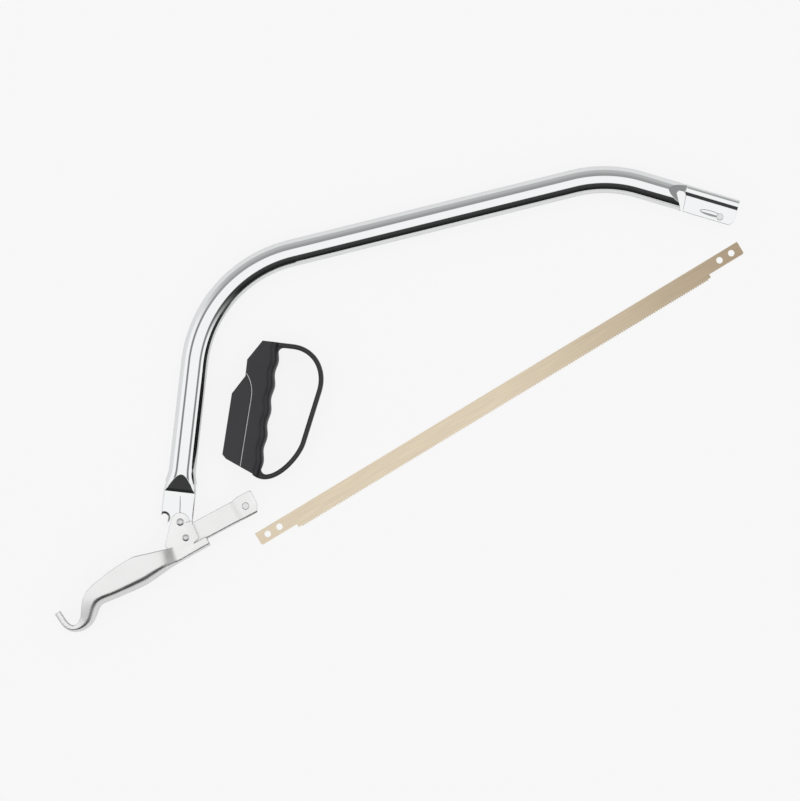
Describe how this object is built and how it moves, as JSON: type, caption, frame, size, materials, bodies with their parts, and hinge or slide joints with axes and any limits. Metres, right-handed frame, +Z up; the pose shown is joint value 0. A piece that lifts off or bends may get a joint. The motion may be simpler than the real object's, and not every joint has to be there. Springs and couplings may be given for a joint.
{
  "type": "meat saw",
  "caption": "Bow meat saw taken apart: a chromed tube bow with a folding tension lever and arm, a loose toothed blade and a loose plastic handle with a knuckle guard.",
  "frame": {"origin": "middle of the laid-out saw, on the table it lies on", "axes": "+X along the longest side of the layout, +Y towards the bow's top, +Z up from the table, square to the bow's plane"},
  "size_m": [0.6504, 0.4395, 0.033],
  "materials": {
    "chromed_tube": "polished",
    "bright_plated_sheet": "satin",
    "rivet_steel": "satin",
    "blade_steel": "satin",
    "charcoal_plastic": "fine texture"
  },
  "bodies": {
    "frame": {"bow_tube": "chromed_tube", "front_blade_peg": "rivet_steel"},
    "lever": {"tension_lever": "bright_plated_sheet", "lever_pivot_rivet_near": "rivet_steel", "lever_pivot_rivet_far": "rivet_steel", "arm_pivot_rivet": "rivet_steel", "arm_spacer_near": "rivet_steel", "arm_spacer_far": "rivet_steel"},
    "arm": {"tension_arm": "bright_plated_sheet", "arm_blade_peg": "rivet_steel"},
    "handle": {"handle": "charcoal_plastic"},
    "blade": {"saw_blade": "blade_steel"}
  },
  "joints": [
    {"name": "lever_swing", "type": "hinge", "parent": "frame", "child": "lever", "pos_m": [-0.20817, -0.11601, 0.0165], "axis": [0, 0, 1], "range_deg": [-125.6, 8]},
    {"name": "arm_swing", "type": "hinge", "parent": "lever", "child": "arm", "pos_m": [-0.20295, -0.13082, 0.0165], "axis": [0, 0, 1], "range_deg": [-8, 125.6]},
    {"name": "handle_clip", "type": "slide", "parent": "frame", "child": "handle", "axis": [-0.9692, 0.2461, 0], "range_m": [0, 0.04632]},
    {"name": "blade_lift", "type": "slide", "parent": "frame", "child": "blade", "axis": [0, 0, 1], "range_m": [0, 0.0161]}
  ],
  "couplings": [
    {"joint": "arm_swing", "follows": "lever_swing", "ratio": -1}
  ]
}
